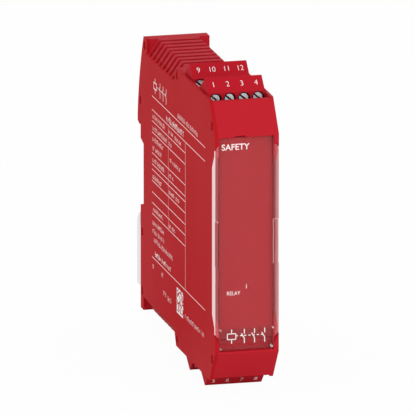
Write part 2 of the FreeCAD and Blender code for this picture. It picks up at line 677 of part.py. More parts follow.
def header_pins(crest):
    """Pins that rise into the plug and bend over to the circuit board below."""
    pins = []
    h = PIN / 2
    for i, x in enumerate(POLE_X):
        z = pin_level(i)
        rise = box(x - h, x + h, crest - h, crest + h, z - h, EDGE - PIN_TOP)
        foot = box(x - h, BOARD_X1 + 0.3, crest - h, crest + h, z - h, z + h)
        pins.append(join([rise, foot]))
    return Part.Compound(pins)


def pin_level(i):
    """Height at which pin i of an upper header enters the board."""
    return CHAMBER_FLOOR - CHAMBER_WALL - 2.4 - PIN_STEP * (POLES - 1 - i)


# ---- inside ----------------------------------------------------------------------------
def main_board():
    """Circuit board that stands along the right wall, with its contact edge at the back."""
    back = -BUS_DEPTH - BACK_WALL - 0.5
    tall = EDGE - CHAMFER_Z - 3.8
    low = CHAMBER_FLOOR - CHAMBER_WALL - 0.5
    step = chamber_rooms()[0][1] + CHAMBER_WALL + 1.0
    front = WALL_FRONT + 0.8
    half = [(back, TAB_HALF), (back, tall), (step, tall), (step, low), (front, low)]
    tab = [(-BUS_DEPTH - 0.2, -TAB_HALF), (-BUS_DEPTH - 0.2, TAB_HALF)]
    outline = tab + half + [(y, -z) for y, z in reversed(half)]
    board = slab(outline, BOARD_X0, BOARD_X1)
    cuts = []
    for crest in (CREST_REAR, CREST_FRONT):
        for i in range(POLES):
            z = pin_level(i)
            r = PIN / 2 + FIT_GAP
            x = POLE_X[i]
            cuts.append(box(BOARD_X0 - 1, BOARD_X1 + 1, crest - r, crest + r, z - r, z + r))
            cuts.append(box(x - r, x + r, crest - r, crest + r, z - r, CHAMBER_FLOOR))
    return board.cut(both(cuts))


def safety_relay(upper):
    """Sealed relay with a stepped base, standing on the board."""
    y1 = -BUS_DEPTH - BACK_WALL - RELAY_BACK
    z0 = RELAY_SPLIT / 2
    x0 = -INNER_W + RELAY_AIR
    case = box(x0, BOARD_X0 - RELAY_BASE, y1 - RELAY_LENGTH, y1, z0, z0 + RELAY_HEIGHT)
    long_edges = [e for e in case.Edges if abs(e.tangentAt(e.FirstParameter).x) > 0.9]
    case = case.makeFillet(0.8, long_edges)
    base = box(BOARD_X0 - RELAY_BASE, BOARD_X0, y1 - RELAY_LENGTH + RELAY_STEP, y1 - RELAY_STEP,
               z0 + RELAY_STEP, z0 + RELAY_HEIGHT - RELAY_STEP)
    relay = join([case, base])
    return relay if upper else flipped(relay)


def capacitors():
    """Two electrolytic cans that stand on the board."""
    cans = []
    for z in (CAN_Z, CAN_Z + 2 * CAN_R + 2):
        cans.append(Part.makeCylinder(CAN_R, CAN_LENGTH, V(BOARD_X0 - CAN_LENGTH, CAN_Y, z), V(1, 0, 0)))
    return Part.Compound(cans)


def control_chips():
    """Moulded chip packages on the board."""
    places = [
        (WALL_FRONT + 12.0, 3.0, 12.0, 12.0),
        (WALL_FRONT + 24.0, 3.0, 8.0, 8.0),
        (-BUS_DEPTH - 22.0, -28.0, 10.0, 6.0),
    ]
    chips = []
    for y, z, dy, dz in places:
        chips.append(box(BOARD_X0 - CHIP_T, BOARD_X0, y - dy / 2, y + dy / 2, z - dz / 2, z + dz / 2))
    return Part.Compound(chips)


def status_leds():
    """Side-looking indicator lamps behind the light guide."""
    y0 = WALL_FRONT + 1.9
    lamps = [box(3.0, BOARD_X0, y0, y0 + 2.4, z - 1.2, z + 1.2) for z in LAMP_Z]
    return Part.Compound(lamps)


# ---- rail latch ------------------------------------------------------------------------
def foot_latch():
    """Folded steel latch: back web, side flanges, curled-in lips and a curved head."""
    head_foot = LATCH_TIP - LATCH_HEAD
    tip_y = RAIL_LIP + 0.2
    outer = [
        line((SEAT_GAP, STOP_Z - 0.3), (SEAT_GAP, LATCH_Z0)),
        line((SEAT_GAP, LATCH_Z0), (LATCH_BACK, LATCH_Z0)),
        line((LATCH_BACK, LATCH_Z0), (LATCH_BACK, head_foot)),
        bow((LATCH_BACK, head_foot), (tip_y + 0.6, LATCH_TIP), -0.5),
        line((tip_y + 0.6, LATCH_TIP), (tip_y, LATCH_TIP)),
        line((tip_y, LATCH_TIP), (tip_y, STOP_Z - 0.3)),
        line((tip_y, STOP_Z - 0.3), (SEAT_GAP, STOP_Z - 0.3)),
    ]
    half = HALF_W - LATCH_INSET
    solid = curved_slab(outer, -half, half)
    inner_y = SEAT_GAP + 0.8
    room = [
        line((inner_y, LATCH_Z0 - 1), (LATCH_IN, LATCH_Z0 - 1)),
        line((LATCH_IN, LATCH_Z0 - 1), (LATCH_IN, head_foot)),
        line((LATCH_IN, head_foot), (tip_y + 0.8, LATCH_TIP - 2.0)),
        line((tip_y + 0.8, LATCH_TIP - 2.0), (tip_y + 0.8, STOP_Z - 1.1)),
        line((tip_y + 0.8, STOP_Z - 1.1), (inner_y, STOP_Z - 1.1)),
        line((inner_y, STOP_Z - 1.1), (inner_y, LATCH_Z0 - 1)),
    ]
    flange = half - LATCH_SHEET
    hollow = curved_slab(room, -flange, flange)
    mouth = box(-GUIDE_NECK - 0.25, GUIDE_NECK + 0.25, -1, inner_y + 0.01, LATCH_Z0 - 1, STOP_Z)
    eye = box(-3, 3, LATCH_IN - 1, LATCH_BACK + 1, LATCH_Z0 + 1.5, LATCH_Z0 + 4.0)
    shelf = box(-SPRING_R - 0.55, SPRING_R + 0.55, 0.8, LATCH_IN, SPRING_Z1, SPRING_Z1 + LATCH_SHEET)
    return join([solid.cut([hollow, mouth, eye]), shelf])


def latch_spring():
    """Compression spring of square wire between the guide's groove and the latch's shelf.

    Its helix is made of short straight runs.
    """
    length = SPRING_Z1 - SPRING_Z0 - 2 * (SPRING_WIRE + SPRING_SEAT)
    middle = SPRING_R - SPRING_WIRE
    runs = SPRING_TURNS * RUNS_PER_TURN
    path = []
    for i in range(runs + 1):
        a = 2 * math.pi * i / RUNS_PER_TURN
        path.append(V(middle * math.cos(a), middle * math.sin(a), length * i / runs))
    corners = [(-1, -1), (1, -1), (1, 1), (-1, 1), (-1, -1)]
    ring = Part.makePolygon([V(middle + SPRING_WIRE * a, 0, SPRING_WIRE * b) for a, b in corners])
    coil = Part.makePolygon(path).makePipeShell([ring], True, True, 1)
    coil.translate(V(0, 0.5 + SPRING_R + 0.2, SPRING_Z0 + SPRING_WIRE + SPRING_SEAT))
    return coil


def main():
    os.makedirs("parts", exist_ok=True)
    save("housing_shell", housing_shell())
    save("side_cover", side_cover())
    save("front_cover", front_cover())
    save("front_panel", front_panel())
    save("label_sheet", label_sheet())
    save("light_guide", light_guide())
    save("main_board", main_board())
    save("relay_upper", safety_relay(True))
    save("relay_lower", safety_relay(False))
    save("capacitors", capacitors())
    save("control_chips", control_chips())
    save("status_leds", status_leds())
    save("foot_latch", foot_latch())
    save("latch_spring", latch_spring())
    for row, crest in (("rear", CREST_REAR), ("front", CREST_FRONT)):
        for level, place in (("top", lambda s: s), ("bottom", flipped)):
            tail = "_" + level + "_" + row
            save("plug" + tail, place(plug_body(crest)))
            save("clamp_screws" + tail, place(clamp_screws(crest)))
            save("clamp_cages" + tail, place(clamp_cages(crest)))
            save("plug_contacts" + tail, place(plug_contacts(crest)))
            save("header" + tail, place(header_base(crest)))
            save("header_pins" + tail, place(header_pins(crest)))


main()
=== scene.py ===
import math

import bpy
import numpy as np
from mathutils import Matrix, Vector


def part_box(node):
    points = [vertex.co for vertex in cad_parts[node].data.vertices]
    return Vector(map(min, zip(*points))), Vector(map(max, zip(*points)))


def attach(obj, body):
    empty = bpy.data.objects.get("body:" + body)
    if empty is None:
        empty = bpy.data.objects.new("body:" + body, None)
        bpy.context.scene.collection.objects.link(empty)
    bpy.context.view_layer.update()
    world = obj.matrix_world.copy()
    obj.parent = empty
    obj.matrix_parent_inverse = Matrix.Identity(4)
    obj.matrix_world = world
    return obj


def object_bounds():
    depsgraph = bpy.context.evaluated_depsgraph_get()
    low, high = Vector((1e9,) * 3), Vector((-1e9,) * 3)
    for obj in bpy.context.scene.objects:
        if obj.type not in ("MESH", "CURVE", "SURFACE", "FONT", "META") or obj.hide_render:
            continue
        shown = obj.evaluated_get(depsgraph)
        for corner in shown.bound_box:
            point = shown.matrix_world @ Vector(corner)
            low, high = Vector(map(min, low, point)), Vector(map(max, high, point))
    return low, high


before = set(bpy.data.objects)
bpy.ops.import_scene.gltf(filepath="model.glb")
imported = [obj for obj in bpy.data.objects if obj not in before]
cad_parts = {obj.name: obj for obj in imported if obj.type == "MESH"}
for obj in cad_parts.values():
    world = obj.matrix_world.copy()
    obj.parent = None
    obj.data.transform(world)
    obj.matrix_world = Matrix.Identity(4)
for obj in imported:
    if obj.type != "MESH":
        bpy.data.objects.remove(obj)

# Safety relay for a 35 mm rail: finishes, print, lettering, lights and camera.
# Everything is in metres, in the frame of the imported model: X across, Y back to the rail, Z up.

cad_low, cad_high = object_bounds()

MM = 0.001
SEED = 22

# ---- sizes taken from the frame --------------------------------------------------------
screws_low, screws_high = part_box("clamp_screws_top_front")
HALF_W = cad_high.x
SIDE_X = cad_low.x
FRONT_Y = cad_low.y
LABEL_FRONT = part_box("label_sheet")[0].y
POLES = 4
SCREW_R = (screws_high.z - screws_low.z) / 2
SCREW_Z = (screws_high.z + screws_low.z) / 2
SCREW_Y = screws_low.y
POLE_PITCH = (screws_high.x - screws_low.x - 2 * SCREW_R) / (POLES - 1)
ROW_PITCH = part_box("clamp_screws_top_rear")[0].y - SCREW_Y
SCREW_WELL_R = SCREW_R + 0.4 * MM   # wells in the plugs round the screw heads, out to which shade is painted
RING_PITCH = 0.22 * MM              # facing marks on the heads
FOLD_START = 0.1 * MM               # depth is folded into one row from this far in front of the heads
SLOT_SHADE = (0.1 * MM, 0.35 * MM)    # behind the heads' faces: painted shade begins, is full
RIM_SHADE = (0.14 * MM, 0.04 * MM)    # inside the heads' rims: painted shade begins, is full

# ---- the clear cover -------------------------------------------------------------------
COVER_WALL = 1.0 * MM               # its side walls
GRIP_EDGE = HALF_W - 1.85 * MM      # finger grips cut into its front edges
GRIP_MIDDLE = 0.45 * MM
GRIP_HALF = 7.75 * MM
GRIP_DEPTH = 0.5 * MM
OUTLINE_IN = 0.28 * MM              # painted highlight along a grip's outline: this far inwards from its side,
OUTLINE_OUT = 0.02 * MM             # this far outwards from it,
OUTLINE_TOP = 0.2 * MM              # this far above and below its top
OUTLINE_BACK = 0.05 * MM            # and this far behind its floor
HAZE = 0.012                        # alpha of the cover seen head on
GLANCE_HAZE = 0.25                  # what it gains when seen edge on
# Painted glints at its hinge's corners and at the left grip's top corner: x, z, radius, strength
PAINTED_GLINTS = (
    (-9.25 * MM, -37.2 * MM, 0.65 * MM, 1.0),
    (9.3 * MM, -37.1 * MM, 0.65 * MM, 1.0),
    (9.3 * MM, -30.1 * MM, 0.36 * MM, 0.6),
    (-9.25 * MM, -30.2 * MM, 0.45 * MM, 0.3),
    (-10.3 * MM, 8.1 * MM, 0.4 * MM, 0.6),
)

# ---- the label -------------------------------------------------------------------------
FILM_EDGE_SHADE = (7.0 * MM, 9.2 * MM)      # from the middle: painted shade begins, is deepest
FILM_FOOT_SHADE = (-29.6 * MM, -30.6 * MM)  # height: the painted shade along the foot begins, is full

# ---- colours (sRGB) --------------------------------------------------------------------
RED = "#BE242F"
RED_SIDE = "#BA161F"
# painted shade: in the plugs' wells round the screw heads, and in the heads' slots and rims
WELL_SHADE = "#3A070C"
SCREW_SHADE = "#1B181B"
INK_WHITE = "#FFF6F5"
INK_PINK = "#FFDCDC"
FILM_RED = "#B01A22"
# deeper ink in clouds, and painted shade at the label's edges and foot
FILM_DEEP_AND_SHADE = "#95181E"
VEIL = "#FADCDD"
# painted reflection of the red in the cover's side walls, and a painted highlight on their outer faces
WALL_REFLECTION_PINK = "#F58D93"
FLANK_HIGHLIGHT_PALE = "#FFCFD0"
# painted highlight along a finger grip's outline
OUTLINE_HIGHLIGHT_PINK = "#FFB4B4"
# painted glints
PAINTED_GLINT_WHITE = "#FFF4F4"


def linear(code):
    """sRGB hex to linear RGBA: below 0.04045 a straight line, above it a power of 2.4."""
    values = [int(code[i:i + 2], 16) / 255 for i in (1, 3, 5)]
    rgb = [v / 12.92 if v <= 0.04045 else ((v + 0.055) / 1.055) ** 2.4 for v in values]
    return (*rgb, 1.0)


# ---- node helpers ----------------------------------------------------------------------
def add(tree, kind, sets=None, links=None, **props):
    """Adds a node; props are its settings, sets its socket values, links {socket: output}."""
    n = tree.nodes.new(kind)
    for key, value in props.items():
        setattr(n, key, value)
    for key, value in (sets or {}).items():
        n.inputs[key].default_value = value
    for key, output in (links or {}).items():
        tree.links.new(output, n.inputs[key])
    return n


def math_node(tree, operation, *operands, **props):
    """One math node; each operand is an output or a plain number."""
    socket = bpy.types.NodeSocket
    links = {i: value for i, value in enumerate(operands) if isinstance(value, socket)}
    sets = {i: value for i, value in enumerate(operands) if i not in links}
    return add(tree, "ShaderNodeMath", sets, links, operation=operation, **props).outputs[0]


def ramp(tree, value, start, end, low=0.0, high=1.0, **props):
    """Runs from low to high while value runs from start to end, and is held at both ends."""
    sets = {"From Min": start, "From Max": end, "To Min": low, "To Max": high}
    return add(tree, "ShaderNodeMapRange", sets, {"Value": value}, **props).outputs[0]


def blend(tree, share, low, high):
    """Colour that runs from low to high with share, an output; low and high are hex codes or outputs."""
    mix = add(tree, "ShaderNodeMix", links={0: share}, data_type="RGBA")
    for socket, colour in ((6, low), (7, high)):
        if isinstance(colour, str):
            mix.inputs[socket].default_value = linear(colour)
        else:
            tree.links.new(colour, mix.inputs[socket])
    return mix.outputs[2]


def object_point(tree):
    """The Object coordinates."""
    return add(tree, "ShaderNodeTexCoord").outputs["Object"]


def axes(tree):
    """Object coordinates as three separate outputs."""
    return add(tree, "ShaderNodeSeparateXYZ", links={0: object_point(tree)}).outputs


def noise(tree, size, detail, stretch=(1, 1, 1), **sets):
    """Cloudy pattern with patches of the given size in metres; they are size / stretch long on each axis."""
    point = add(tree, "ShaderNodeVectorMath", {1: stretch}, {0: object_point(tree)}, operation="MULTIPLY")
    return add(tree, "ShaderNodeTexNoise", {"Scale": 1 / size, "Detail": detail, **sets},
               {"Vector": point.outputs[0]}).outputs[0]


def screw_reach(tree, split):
    """Distance from the nearest screw axis: x folded into one pole, |z| measured from the screws' height."""
    folded = math_node(tree, "FLOORED_MODULO", split["X"], POLE_PITCH)
    x = math_node(tree, "SUBTRACT", folded, POLE_PITCH / 2)
    z = math_node(tree, "SUBTRACT", math_node(tree, "ABSOLUTE", split["Z"]), SCREW_Z)
    flat = add(tree, "ShaderNodeCombineXYZ", links={"X": x, "Z": z})
    return add(tree, "ShaderNodeVectorMath", links={0: flat.outputs[0]}, operation="LENGTH").outputs["Value"]


def seen_rays(tree):
    """1 on camera, glossy and transmission rays, and 0 on all others, such as those that light the scene."""
    rays = add(tree, "ShaderNodeLightPath").outputs
    seen = math_node(tree, "MAXIMUM", rays["Is Camera Ray"], rays["Is Glossy Ray"])
    return math_node(tree, "MAXIMUM", seen, rays["Is Transmission Ray"])


# ---- material helpers ------------------------------------------------------------------
def finish(name, rough, **sockets):
    """A material with one Principled shader; returns the material, its tree and the shader."""
    made = bpy.data.materials.new(name)
    made.use_nodes = True
    tree = made.node_tree
    shader = tree.nodes["Principled BSDF"]
    shader.inputs["Roughness"].default_value = rough
    for key, value in sockets.items():
        shader.inputs[key.replace("_", " ")].default_value = value
    return made, tree, shader


def feed(tree, shader, socket, output):
    """Links an output to one of the shader's sockets."""
    tree.links.new(output, shader.inputs[socket])


def rounded(tree, radius):
    """Normal that reads a hard edge as rounded by radius."""
    return add(tree, "ShaderNodeBevel", {"Radius": radius}, samples=6).outputs["Normal"]


def raise_by(tree, shader, height, depth, edge=None):
    """Bump of the given height pattern, depth in metres, over edges rounded by edge."""
    bump = add(tree, "ShaderNodeBump", {"Strength": 1.0, "Distance": depth}, {"Height": height})
    if edge is not None:
        tree.links.new(rounded(tree, edge), bump.inputs["Normal"])
    feed(tree, shader, "Normal", bump.outputs[0])


# ---- plastics --------------------------------------------------------------------------
def moulded_polyamide(name, dark, light, rough=0.48, edge=0.28 * MM, gloss=0.02, wells=False):
    """Glass-filled polyamide 6.6 from a spark-eroded mould: an even satin with soft edges.

    The eroded grain is 0.05 mm, too fine to show, so it is drawn at 0.4 mm and very shallow.
    Slow flow marks, 30 mm wide and 60 mm long, shift the colour and the roughness by a hair.  With
    wells, painted shade darkens the bores round the screw heads: all that is closer to a screw
    axis than their radius.
    """
    made, tree, shader = finish(name, rough, IOR=1.53, Specular_IOR_Level=gloss)
    flow = noise(tree, size=30 * MM, detail=2.0, stretch=(1, 1, 0.5), Roughness=0.45)
    colour = blend(tree, flow, dark, light)
    # painted shade in the wells round the screw heads
    if wells:
        reach = screw_reach(tree, axes(tree))
        unshaded = ramp(tree, reach, SCREW_WELL_R + 0.02 * MM, SCREW_WELL_R + 0.1 * MM)
        colour = blend(tree, unshaded, WELL_SHADE, colour)
    feed(tree, shader, "Base Color", colour)
    feed(tree, shader, "Roughness", ramp(tree, flow, 0, 1, rough + 0.05, rough - 0.05))
    grain = noise(tree, size=0.4 * MM, detail=3.0, Roughness=0.6)
    raise_by(tree, shader, grain, depth=0.008 * MM, edge=edge)
    return made


def grip_highlight_outline(tree, split):
    """Painted highlight: 1 along the side and the top of the right-hand finger grip, 0 elsewhere.

    It is an outer box, open to the right, less an inner one, open to the right and below.  The
    outer one reaches from the grip's foot to OUTLINE_TOP above its top: its height is compared with
    the middle of that span, to within half of the span.
    """
    up = math_node(tree, "SUBTRACT", split["Z"], GRIP_MIDDLE)
    half = OUTLINE_TOP / 2
    outer = math_node(tree, "MULTIPLY",
                      math_node(tree, "GREATER_THAN", split["X"], GRIP_EDGE - OUTLINE_IN),
                      math_node(tree, "COMPARE", up, half, GRIP_HALF + half))
    inner = math_node(tree, "MULTIPLY",
                      math_node(tree, "GREATER_THAN", split["X"], GRIP_EDGE + OUTLINE_OUT),
                      math_node(tree, "LESS_THAN", up, GRIP_HALF - OUTLINE_TOP))
    front = math_node(tree, "LESS_THAN", split["Y"], FRONT_Y + GRIP_DEPTH + OUTLINE_BACK)
    return math_node(tree, "MULTIPLY", math_node(tree, "GREATER_THAN", outer, inner), front)


def painted_glint_spots(tree, split):
    """The strongest of the round painted glints listed above, each full to 0.4 of its radius and fading to
    its rim.
    """
    flat = add(tree, "ShaderNodeCombineXYZ", links={"X": split["X"], "Z": split["Z"]}).outputs[0]
    bright = 0.0
    for x, z, radius, strength in PAINTED_GLINTS:
        away = add(tree, "ShaderNodeVectorMath", {1: (x, 0, z)}, {0: flat}, operation="DISTANCE")
        spot = ramp(tree, away.outputs["Value"], radius, 0.4 * radius, high=strength)
        bright = math_node(tree, "MAXIMUM", bright, spot)
    return bright


def clear_polycarbonate():
    """Clear polycarbonate, moulded and polished: barely veils what lies behind it.

    Light gathered in walls seen along their length, and the red round them, are painted in by place:
    the alpha rises with a painted pink reflection over the side walls, with a painted pale highlight
    on their outer faces, with a painted highlight along the outline of one finger grip, and with
    painted glints in spots at the hinge's corners and at a corner of the other grip.  It also rises a
    little wherever the surface is seen at a glancing angle.  Alpha is the sum of these shares, held
    at 1, and the colours are laid over each other in that order.
    """
    made, tree, shader = finish("clear moulded polycarbonate", 0.08, IOR=1.58)
    split = axes(tree)
    across = math_node(tree, "ABSOLUTE", split["X"])
    wall = ramp(tree, across, HALF_W - COVER_WALL - 0.3 * MM, HALF_W - COVER_WALL)
    flank = ramp(tree, across, HALF_W - 0.12 * MM, HALF_W - 0.04 * MM)
    glance = add(tree, "ShaderNodeLayerWeight", {"Blend": 0.12}).outputs["Facing"]
    alpha = math_node(tree, "MULTIPLY_ADD", glance, GLANCE_HAZE, HAZE)
    colour = VEIL
    # layers of painted reflection, painted highlights and painted glints over the veil
    layers = (  # where, its share of the alpha, its colour
        (wall, 0.22, WALL_REFLECTION_PINK),
        (flank, 0.62, FLANK_HIGHLIGHT_PALE),
        (grip_highlight_outline(tree, split), 0.5, OUTLINE_HIGHLIGHT_PINK),
        (painted_glint_spots(tree, split), 1.0, PAINTED_GLINT_WHITE),
    )
    for where, share, code in layers:
        alpha = math_node(tree, "MULTIPLY_ADD", where, share, alpha, use_clamp=True)
        colour = blend(tree, where, colour, code)
    feed(tree, shader, "Alpha", alpha)
    feed(tree, shader, "Base Color", colour)
    feed(tree, shader, "Normal", rounded(tree, 0.2 * MM))
    return made


def printed_film():
    """Polyester label film, screen printed red: clouds of deeper ink, with painted shade towards both edges
    and in a strip along the foot.

    Its darkening is the largest of three: 1 in the painted shade of the strip, up to 0.6 in the painted
    shade at an edge, up to 0.3 in a cloud of deeper ink.
    """
    made, tree, shader = finish("screen-printed polyester film", 0.5, IOR=1.55, Specular_IOR_Level=0.2)
    split = axes(tree)
    across = math_node(tree, "ABSOLUTE", split["X"])
    # painted shade towards both edges and along the foot
    edge = ramp(tree, across, *FILM_EDGE_SHADE, interpolation_type="SMOOTHSTEP")
    foot = ramp(tree, split["Z"], *FILM_FOOT_SHADE)
    shade_and_cloud = math_node(tree, "MAXIMUM", math_node(tree, "MULTIPLY", edge, 0.6), foot)
    cloud = noise(tree, size=9 * MM, detail=1.0)
    shade_and_cloud = math_node(tree, "MAXIMUM", shade_and_cloud, math_node(tree, "MULTIPLY", cloud, 0.3))
    feed(tree, shader, "Base Color", blend(tree, shade_and_cloud, FILM_RED, FILM_DEEP_AND_SHADE))
    return made


def pad_print(name, colour):
    """Two-part ink, pad-printed on plastic: opaque, matt, a little uneven where it lies thin."""
    made, tree, shader = finish(name, 0.55, IOR=1.5)
    shader.inputs["Base Color"].default_value = linear(colour)
    thin = noise(tree, size=0.6 * MM, detail=2.0)
    feed(tree, shader, "Roughness", ramp(tree, thin, 0, 1, low=0.48, high=0.62))
    return made


def moulded_resin(name, dark, light, rough):
    """Filled moulding resin, as on relay cases, sockets and chips: dense and dull, with a fine grain."""
    made, tree, shader = finish(name, rough, IOR=1.55)
    grain = noise(tree, size=0.5 * MM, detail=3.0)
    feed(tree, shader, "Base Color", blend(tree, grain, dark, light))
    raise_by(tree, shader, grain, depth=0.02 * MM, edge=0.2 * MM)
    return made


def circuit_laminate():
    """Green solder mask over glass laminate: a hard gloss with the glass weave, 0.9 mm, just under it.

    The weave is the product of two waves, along Y and along Z.  A wave of scale 1 is 2 pi / 20, or
    0.314, long, so its scale is that over the length wanted.
    """
    made, tree, shader = finish("solder-masked glass laminate", 0.28, IOR=1.55)
    waves = [add(tree, "ShaderNodeTexWave", {"Scale": 0.314 / (0.9 * MM), "Distortion": 0.3},
                 {"Vector": object_point(tree)}, bands_direction=direction).outputs["Fac"]
             for direction in ("Y", "Z")]
    cloth = math_node(tree, "MULTIPLY", *waves)
    feed(tree, shader, "Base Color", blend(tree, cloth, "#1A5130", "#27683F"))
    raise_by(tree, shader, cloth, depth=0.01 * MM)
    return made


# ---- metals ----------------------------------------------------------------------------
def turned_zinc():
    """Steel screws, turned and bright zinc plated: bluish silver heads with facing marks round each axis.

    Rings every 0.22 mm follow the distance from the nearest screw axis.  Painted shade darkens the
    slots and the rims: the slots by depth behind the heads' faces, with y folded into one row of
    screws, the rims by distance from the axis.
    """
    made, tree, shader = finish("turned zinc-plated steel", 0.25, Specular_IOR_Level=0.8)
    split = axes(tree)
    reach = screw_reach(tree, split)
    rings = math_node(tree, "SINE", math_node(tree, "MULTIPLY", reach, 2 * math.pi / RING_PITCH))
    behind = math_node(tree, "SUBTRACT", split["Y"], SCREW_Y - FOLD_START)
    row = math_node(tree, "FLOORED_MODULO", behind, ROW_PITCH)
    slot = ramp(tree, row, FOLD_START + SLOT_SHADE[0], FOLD_START + SLOT_SHADE[1])
    rim = ramp(tree, reach, SCREW_R - RIM_SHADE[0], SCREW_R - RIM_SHADE[1])
    plate = blend(tree, noise(tree, size=2.5 * MM, detail=1.0), "#D6E8F2", "#FFFFFF")
    # painted shade in the slots and round the rims of the heads
    feed(tree, shader, "Base Color", blend(tree, math_node(tree, "MAXIMUM", slot, rim), plate, SCREW_SHADE))
    raise_by(tree, shader, rings, depth=0.006 * MM, edge=0.15 * MM)
    return made


def coated_sheet():
    """Cold-rolled steel sheet with a pale zinc-flake coat: a matt grey with rolling lines along Z."""
    made, tree, shader = finish("zinc-flake coated steel sheet", 0.5, Metallic=0.2, IOR=1.5)
    lines = noise(tree, size=0.6 * MM, detail=3.0, stretch=(1, 1, 0.04))
    feed(tree, shader, "Base Color", blend(tree, lines, "#EEEAEA", "#F9F5F5"))
    raise_by(tree, shader, lines, depth=0.012 * MM, edge=0.3 * MM)
    return made


def plain_metal(name, dark, light, rough, size=1.5 * MM):
    """Plated or drawn metal inside the module: an even sheen with slight clouding."""
    made, tree, shader = finish(name, rough, Metallic=1.0)
    cloud = noise(tree, size, detail=2.0)
    feed(tree, shader, "Base Color", blend(tree, cloud, dark, light))
    feed(tree, shader, "Roughness", ramp(tree, cloud, 0, 1, rough + 0.06, rough - 0.06))
    return made


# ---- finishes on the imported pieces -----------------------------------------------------
relay_case = moulded_resin("black relay case resin", "#1B1D20", "#26282B", 0.42)
tin = plain_metal("tinned copper alloy", "#BEBBB2", "#D2CFC8", 0.3)
ink_white = pad_print("white pad-printing ink", INK_WHITE)
ink_pink = pad_print("thin white ink over red", INK_PINK)

BY_NODE = {
    "housing_shell": moulded_polyamide("satin moulded polyamide shell", "#B9202B", RED),
    "side_cover": moulded_polyamide("matt moulded polyamide side wall", "#B4141D", RED_SIDE,
                                    rough=0.6, gloss=0.04),
    "front_cover": clear_polycarbonate(),
    "front_panel": moulded_polyamide("moulded polyamide panel", "#8A1A24", "#921E28",
                                     rough=0.55, gloss=0.12),
    "label_sheet": printed_film(),
    "light_guide": moulded_resin("milky polycarbonate light bar", "#C9C2BC", "#DDD6D0", 0.3),
    "main_board": circuit_laminate(),
    "relay_upper": relay_case,
    "relay_lower": relay_case,
    "capacitors": plain_metal("drawn aluminium can", "#C4C6C8", "#D8D9DA", 0.28),
    "control_chips": moulded_resin("black transfer-moulded resin", "#141517", "#1D1E20", 0.6),
    "status_leds": moulded_resin("diffused lamp resin", "#D9DCC4", "#E7EAD6", 0.35),
    "foot_latch": coated_sheet(),
    "latch_spring": plain_metal("drawn spring steel", "#6E7073", "#8B8D90", 0.35, size=0.5 * MM),
}
# The first of these that a name starts with gives its finish
BY_START = {
    "plug_contacts": tin,
    "plug_": moulded_polyamide("satin moulded polyamide plug", "#B51B28", "#BB1E2B",
                               rough=0.58, edge=0.22 * MM, wells=True),
    "clamp_screws": turned_zinc(),
    "clamp_cages": plain_metal("zinc-plated clamp steel", "#B4B9BD", "#CDD0D2", 0.36),
    "header_pins": tin,
    "header_": moulded_resin("black socket resin", "#191A1C", "#232527", 0.5),
}


def finish_of(name):
    """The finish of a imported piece, by its whole name or by how its name starts."""
    if name in BY_NODE:
        return BY_NODE[name]
    return next(made for start, made in BY_START.items() if name.startswith(start))


for name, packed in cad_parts.items():
    packed.data.materials.clear()
    packed.data.materials.append(finish_of(name))


# ---- print -----------------------------------------------------------------------------
INK = 0.02 * MM          # print stands this far off its surface, so the two never share a plane
UP = (0, 0, 1)
FONT_SCALE = 1.38        # the font's capitals are 0.68 of its size, so they stand 0.94 of the size asked for

# Text too small to read.  In heights of a letter: the pitch of the stems, a short stem, the bars
STEM_PITCH = 0.47
SHORT_STEM = 0.74
BAR_LEVELS = [0.0, 0.36, 0.7]
# Shares of the stems: left out, short, not joined to the next one
GAP_SHARE = 0.13
SHORT_SHARE = 0.7
LOOSE_SHARE = 0.35
# Widths of the strokes in mm
SMALL_WEIGHT = 0.24
BOLD_WEIGHT = 0.36
# Added to SEED: the first row of each text block, and the patch
SMALL_SEED = 0
BOLD_SEED = 50
PATCH_SEED = 90

# Open blade of a contact: how far its tip leans and how high it stands, in thirds of the contact
BLADE_LEAN = 0.62
BLADE_TIP = 2.1

SIDE = {"origin": (SIDE_X - INK, 0, 0), "right": (0, -1, 0), "up": UP}
LABEL = {"origin": (0, LABEL_FRONT - INK, 0), "right": (1, 0, 0), "up": UP}


def mesh_piece(name, points, faces, made, body):
    """A mesh at the origin, with its finish, riding on a body."""
    mesh = bpy.data.meshes.new(name)
    mesh.from_pydata(points, [], faces)
    mesh.materials.append(made)
    mesh.update()
    piece = bpy.data.objects.new(name, mesh)
    bpy.context.scene.collection.objects.link(piece)
    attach(piece, body)


def on_plane(flat, origin, right, up):
    """Points (a, b) in millimetres laid at origin + a * right + b * up."""
    flat = np.asarray(flat, float) * MM
    return np.asarray(origin) + flat[:, :1] * np.asarray(right) + flat[:, 1:2] * np.asarray(up)


def quad_piece(name, corners, plane, made):
    """Four-cornered patches on a plane of the housing; corners, in millimetres, run anticlockwise."""
    corners = np.asarray(corners, float).reshape(-1, 2)
    faces = np.arange(len(corners)).reshape(-1, 4)
    mesh_piece(name, on_plane(corners, **plane).tolist(), faces.tolist(), made, "housing")


def bar_quads(bars):
    """Corners of upright rectangles, each given as (a0, a1, b0, b1)."""
    return np.asarray(bars, float)[:, [0, 2, 1, 2, 1, 3, 0, 3]]


def line_quads(lines, weight):
    """Corners of strokes: each line (a0, b0, a1, b1) is widened by half the weight to both sides of it."""
    ends = np.asarray(lines, float).reshape(-1, 2, 2)
    along = ends[:, 1] - ends[:, 0]
    along /= np.linalg.norm(along, axis=1, keepdims=True)
    side = np.stack([-along[:, 1], along[:, 0]], 1) * weight / 2
    return np.stack([ends[:, 0] - side, ends[:, 1] - side, ends[:, 1] + side, ends[:, 0] + side], 1)


